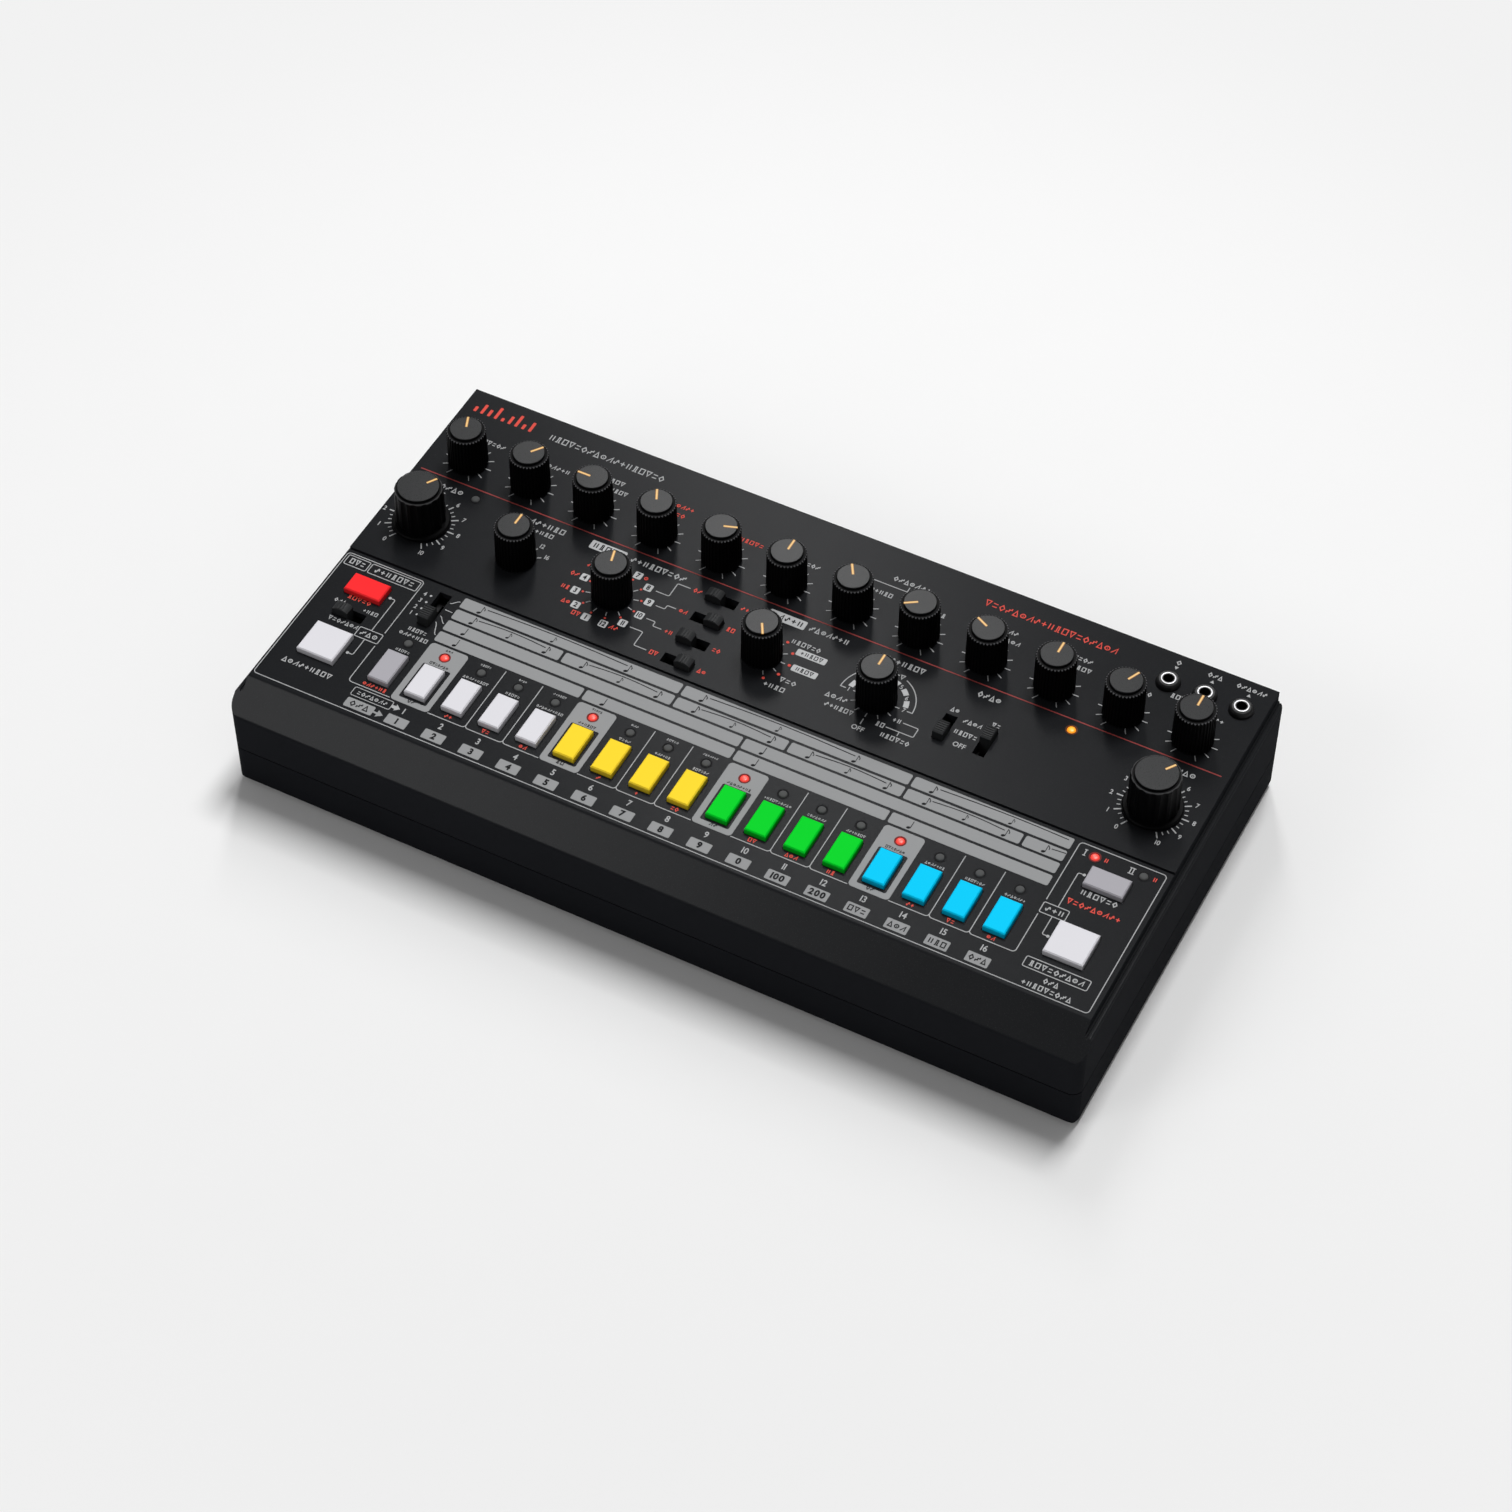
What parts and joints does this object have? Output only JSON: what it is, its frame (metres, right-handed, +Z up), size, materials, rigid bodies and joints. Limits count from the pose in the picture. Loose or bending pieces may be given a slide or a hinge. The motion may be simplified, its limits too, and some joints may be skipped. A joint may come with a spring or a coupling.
{
  "type": "drum machine",
  "caption": "Table-top drum machine: flat black case with a sloping lip, a row of coloured step keys, level and selector knobs, slide switches, lamps and sockets.",
  "frame": {"origin": "on the table, under the middle of the whole unit's bounding box", "axes": "+X to the player's right along the rows of keys and knobs, +Y from the player to the socket wall, +Z up"},
  "size_m": [0.305, 0.16, 0.0611],
  "materials": {
    "case_black": "fine matte texture",
    "board_green": "satin",
    "pot_grey": "satin",
    "switch_black": "matte",
    "lamp_lens": "diffused lens",
    "socket_black": "satin",
    "foot_rubber": "matte",
    "screw_steel": "satin",
    "key_white": "satin",
    "key_yellow": "satin",
    "key_green": "satin",
    "key_cyan": "satin",
    "key_grey": "satin",
    "key_red": "satin",
    "knob_black": "matte",
    "lever_black": "matte",
    "rocker_black": "gloss"
  },
  "bodies": {
    "body": {"top_case": "case_black", "bottom_case": "case_black", "control_board": "board_green", "main_board": "board_green", "pot_bodies": "pot_grey", "key_switches": "switch_black", "slide_switch_bodies": "switch_black", "lamps": "lamp_lens", "mini_jacks": "socket_black", "rear_sockets": "socket_black", "rubber_feet": "foot_rubber", "screws": "screw_steel"},
    "step_key_01": {"step_key_01": "key_white"},
    "step_key_02": {"step_key_02": "key_white"},
    "step_key_03": {"step_key_03": "key_white"},
    "step_key_04": {"step_key_04": "key_white"},
    "step_key_05": {"step_key_05": "key_yellow"},
    "step_key_06": {"step_key_06": "key_yellow"},
    "step_key_07": {"step_key_07": "key_yellow"},
    "step_key_08": {"step_key_08": "key_yellow"},
    "step_key_09": {"step_key_09": "key_green"},
    "step_key_10": {"step_key_10": "key_green"},
    "step_key_11": {"step_key_11": "key_green"},
    "step_key_12": {"step_key_12": "key_green"},
    "step_key_13": {"step_key_13": "key_cyan"},
    "step_key_14": {"step_key_14": "key_cyan"},
    "step_key_15": {"step_key_15": "key_cyan"},
    "step_key_16": {"step_key_16": "key_cyan"},
    "shift_key": {"shift_key": "key_grey"},
    "clear_key": {"clear_key": "key_red"},
    "start_key": {"start_key": "key_white"},
    "bank_key": {"bank_key": "key_grey"},
    "write_key": {"write_key": "key_white"},
    "level_knob_01": {"level_knob_01": "knob_black"},
    "level_knob_02": {"level_knob_02": "knob_black"},
    "level_knob_03": {"level_knob_03": "knob_black"},
    "level_knob_04": {"level_knob_04": "knob_black"},
    "level_knob_05": {"level_knob_05": "knob_black"},
    "level_knob_06": {"level_knob_06": "knob_black"},
    "level_knob_07": {"level_knob_07": "knob_black"},
    "level_knob_08": {"level_knob_08": "knob_black"},
    "level_knob_09": {"level_knob_09": "knob_black"},
    "level_knob_10": {"level_knob_10": "knob_black"},
    "level_knob_11": {"level_knob_11": "knob_black"},
    "level_knob_12": {"level_knob_12": "knob_black"},
    "tempo_knob": {"tempo_knob": "knob_black"},
    "measure_knob": {"measure_knob": "knob_black"},
    "track_knob": {"track_knob": "knob_black"},
    "mode_knob": {"mode_knob": "knob_black"},
    "fill_knob": {"fill_knob": "knob_black"},
    "volume_knob": {"volume_knob": "knob_black"},
    "variation_lever": {"variation_lever": "lever_black"},
    "scale_lever": {"scale_lever": "lever_black"},
    "fade_in_lever": {"fade_in_lever": "lever_black"},
    "fade_out_lever": {"fade_out_lever": "lever_black"},
    "voice_lever_1": {"voice_lever_1": "lever_black"},
    "voice_lever_2": {"voice_lever_2": "lever_black"},
    "voice_lever_3": {"voice_lever_3": "lever_black"},
    "voice_lever_4": {"voice_lever_4": "lever_black"},
    "power_rocker": {"power_rocker": "rocker_black"}
  },
  "joints": [
    {"name": "step_key_01_press", "type": "slide", "parent": "body", "child": "step_key_01", "axis": [0, 0, -1], "range_m": [0, 0.001], "stiffness_N_per_m": 600, "springref_m": -0.0008},
    {"name": "step_key_02_press", "type": "slide", "parent": "body", "child": "step_key_02", "axis": [0, 0, -1], "range_m": [0, 0.001], "stiffness_N_per_m": 600, "springref_m": -0.0008},
    {"name": "step_key_03_press", "type": "slide", "parent": "body", "child": "step_key_03", "axis": [0, 0, -1], "range_m": [0, 0.001], "stiffness_N_per_m": 600, "springref_m": -0.0008},
    {"name": "step_key_04_press", "type": "slide", "parent": "body", "child": "step_key_04", "axis": [0, 0, -1], "range_m": [0, 0.001], "stiffness_N_per_m": 600, "springref_m": -0.0008},
    {"name": "step_key_05_press", "type": "slide", "parent": "body", "child": "step_key_05", "axis": [0, 0, -1], "range_m": [0, 0.001], "stiffness_N_per_m": 600, "springref_m": -0.0008},
    {"name": "step_key_06_press", "type": "slide", "parent": "body", "child": "step_key_06", "axis": [0, 0, -1], "range_m": [0, 0.001], "stiffness_N_per_m": 600, "springref_m": -0.0008},
    {"name": "step_key_07_press", "type": "slide", "parent": "body", "child": "step_key_07", "axis": [0, 0, -1], "range_m": [0, 0.001], "stiffness_N_per_m": 600, "springref_m": -0.0008},
    {"name": "step_key_08_press", "type": "slide", "parent": "body", "child": "step_key_08", "axis": [0, 0, -1], "range_m": [0, 0.001], "stiffness_N_per_m": 600, "springref_m": -0.0008},
    {"name": "step_key_09_press", "type": "slide", "parent": "body", "child": "step_key_09", "axis": [0, 0, -1], "range_m": [0, 0.001], "stiffness_N_per_m": 600, "springref_m": -0.0008},
    {"name": "step_key_10_press", "type": "slide", "parent": "body", "child": "step_key_10", "axis": [0, 0, -1], "range_m": [0, 0.001], "stiffness_N_per_m": 600, "springref_m": -0.0008},
    {"name": "step_key_11_press", "type": "slide", "parent": "body", "child": "step_key_11", "axis": [0, 0, -1], "range_m": [0, 0.001], "stiffness_N_per_m": 600, "springref_m": -0.0008},
    {"name": "step_key_12_press", "type": "slide", "parent": "body", "child": "step_key_12", "axis": [0, 0, -1], "range_m": [0, 0.001], "stiffness_N_per_m": 600, "springref_m": -0.0008},
    {"name": "step_key_13_press", "type": "slide", "parent": "body", "child": "step_key_13", "axis": [0, 0, -1], "range_m": [0, 0.001], "stiffness_N_per_m": 600, "springref_m": -0.0008},
    {"name": "step_key_14_press", "type": "slide", "parent": "body", "child": "step_key_14", "axis": [0, 0, -1], "range_m": [0, 0.001], "stiffness_N_per_m": 600, "springref_m": -0.0008},
    {"name": "step_key_15_press", "type": "slide", "parent": "body", "child": "step_key_15", "axis": [0, 0, -1], "range_m": [0, 0.001], "stiffness_N_per_m": 600, "springref_m": -0.0008},
    {"name": "step_key_16_press", "type": "slide", "parent": "body", "child": "step_key_16", "axis": [0, 0, -1], "range_m": [0, 0.001], "stiffness_N_per_m": 600, "springref_m": -0.0008},
    {"name": "shift_key_press", "type": "slide", "parent": "body", "child": "shift_key", "axis": [0, 0, -1], "range_m": [0, 0.001], "stiffness_N_per_m": 600, "springref_m": -0.0008},
    {"name": "clear_key_press", "type": "slide", "parent": "body", "child": "clear_key", "axis": [0, 0, -1], "range_m": [0, 0.001], "stiffness_N_per_m": 600, "springref_m": -0.0008},
    {"name": "start_key_press", "type": "slide", "parent": "body", "child": "start_key", "axis": [0, 0, -1], "range_m": [0, 0.001], "stiffness_N_per_m": 600, "springref_m": -0.0008},
    {"name": "bank_key_press", "type": "slide", "parent": "body", "child": "bank_key", "axis": [0, 0, -1], "range_m": [0, 0.001], "stiffness_N_per_m": 600, "springref_m": -0.0008},
    {"name": "write_key_press", "type": "slide", "parent": "body", "child": "write_key", "axis": [0, 0, -1], "range_m": [0, 0.001], "stiffness_N_per_m": 600, "springref_m": -0.0008},
    {"name": "level_01_turn", "type": "hinge", "parent": "body", "child": "level_knob_01", "pos_m": [-0.1345, 0.0459, 0.0439], "axis": [0, 0, 1], "range_deg": [-172, 128]},
    {"name": "level_02_turn", "type": "hinge", "parent": "body", "child": "level_knob_02", "pos_m": [-0.11017, 0.0459, 0.0439], "axis": [0, 0, 1], "range_deg": [-114, 186]},
    {"name": "level_03_turn", "type": "hinge", "parent": "body", "child": "level_knob_03", "pos_m": [-0.08585, 0.0459, 0.0439], "axis": [0, 0, 1], "range_deg": [-240, 60]},
    {"name": "level_04_turn", "type": "hinge", "parent": "body", "child": "level_knob_04", "pos_m": [-0.06152, 0.0459, 0.0439], "axis": [0, 0, 1], "range_deg": [-176, 124]},
    {"name": "level_05_turn", "type": "hinge", "parent": "body", "child": "level_knob_05", "pos_m": [-0.03719, 0.0459, 0.0439], "axis": [0, 0, 1], "range_deg": [-79, 221]},
    {"name": "level_06_turn", "type": "hinge", "parent": "body", "child": "level_knob_06", "pos_m": [-0.01286, 0.0459, 0.0439], "axis": [0, 0, 1], "range_deg": [-150, 150]},
    {"name": "level_07_turn", "type": "hinge", "parent": "body", "child": "level_knob_07", "pos_m": [0.01146, 0.0459, 0.0439], "axis": [0, 0, 1], "range_deg": [-181, 119]},
    {"name": "level_08_turn", "type": "hinge", "parent": "body", "child": "level_knob_08", "pos_m": [0.03579, 0.0459, 0.0439], "axis": [0, 0, 1], "range_deg": [-273, 27]},
    {"name": "level_09_turn", "type": "hinge", "parent": "body", "child": "level_knob_09", "pos_m": [0.06012, 0.0459, 0.0439], "axis": [0, 0, 1], "range_deg": [-213, 87]},
    {"name": "level_10_turn", "type": "hinge", "parent": "body", "child": "level_knob_10", "pos_m": [0.08445, 0.0459, 0.0439], "axis": [0, 0, 1], "range_deg": [-150, 150]},
    {"name": "level_11_turn", "type": "hinge", "parent": "body", "child": "level_knob_11", "pos_m": [0.10877, 0.0459, 0.0439], "axis": [0, 0, 1], "range_deg": [-125, 175]},
    {"name": "level_12_turn", "type": "hinge", "parent": "body", "child": "level_knob_12", "pos_m": [0.1331, 0.0459, 0.0439], "axis": [0, 0, 1], "range_deg": [-150, 150]},
    {"name": "tempo_turn", "type": "hinge", "parent": "body", "child": "tempo_knob", "pos_m": [-0.1345, 0.0146, 0.0439], "axis": [0, 0, 1], "range_deg": [-117, 183]},
    {"name": "measure_turn", "type": "hinge", "parent": "body", "child": "measure_knob", "pos_m": [-0.09801, 0.0146, 0.0439], "axis": [0, 0, 1], "range_deg": [-60, 60]},
    {"name": "track_turn", "type": "hinge", "parent": "body", "child": "track_knob", "pos_m": [-0.06152, 0.0146, 0.0439], "axis": [0, 0, 1], "range_deg": [-180, 150]},
    {"name": "mode_turn", "type": "hinge", "parent": "body", "child": "mode_knob", "pos_m": [-0.00581, 0.0146, 0.0439], "axis": [0, 0, 1], "range_deg": [0, 120]},
    {"name": "fill_turn", "type": "hinge", "parent": "body", "child": "fill_knob", "pos_m": [0.03579, 0.0146, 0.0439], "axis": [0, 0, 1], "range_deg": [-150, 180]},
    {"name": "volume_turn", "type": "hinge", "parent": "body", "child": "volume_knob", "pos_m": [0.1331, 0.0146, 0.0439], "axis": [0, 0, 1], "range_deg": [-115, 185]},
    {"name": "variation_slide", "type": "slide", "parent": "body", "child": "variation_lever", "axis": [1, 0, 0], "range_m": [0, 0.0048]},
    {"name": "scale_slide", "type": "slide", "parent": "body", "child": "scale_lever", "axis": [0, 1, 0], "range_m": [0, 0.0091]},
    {"name": "fade_in_slide", "type": "slide", "parent": "body", "child": "fade_in_lever", "axis": [0, 1, 0], "range_m": [0, 0.005]},
    {"name": "fade_out_slide", "type": "slide", "parent": "body", "child": "fade_out_lever", "axis": [0, 1, 0], "range_m": [-0.005, 0]},
    {"name": "voice_1_slide", "type": "slide", "parent": "body", "child": "voice_lever_1", "axis": [1, 0, 0], "range_m": [0, 0.0048]},
    {"name": "voice_2_slide", "type": "slide", "parent": "body", "child": "voice_lever_2", "axis": [1, 0, 0], "range_m": [-0.0048, 0]},
    {"name": "voice_3_slide", "type": "slide", "parent": "body", "child": "voice_lever_3", "axis": [1, 0, 0], "range_m": [0, 0.0048]},
    {"name": "voice_4_slide", "type": "slide", "parent": "body", "child": "voice_lever_4", "axis": [1, 0, 0], "range_m": [-0.0048, 0]},
    {"name": "power_rock", "type": "hinge", "parent": "body", "child": "power_rocker", "pos_m": [0.131, 0.07577, 0.0194], "axis": [1, 0, 0], "range_deg": [-18, 0]}
  ]
}
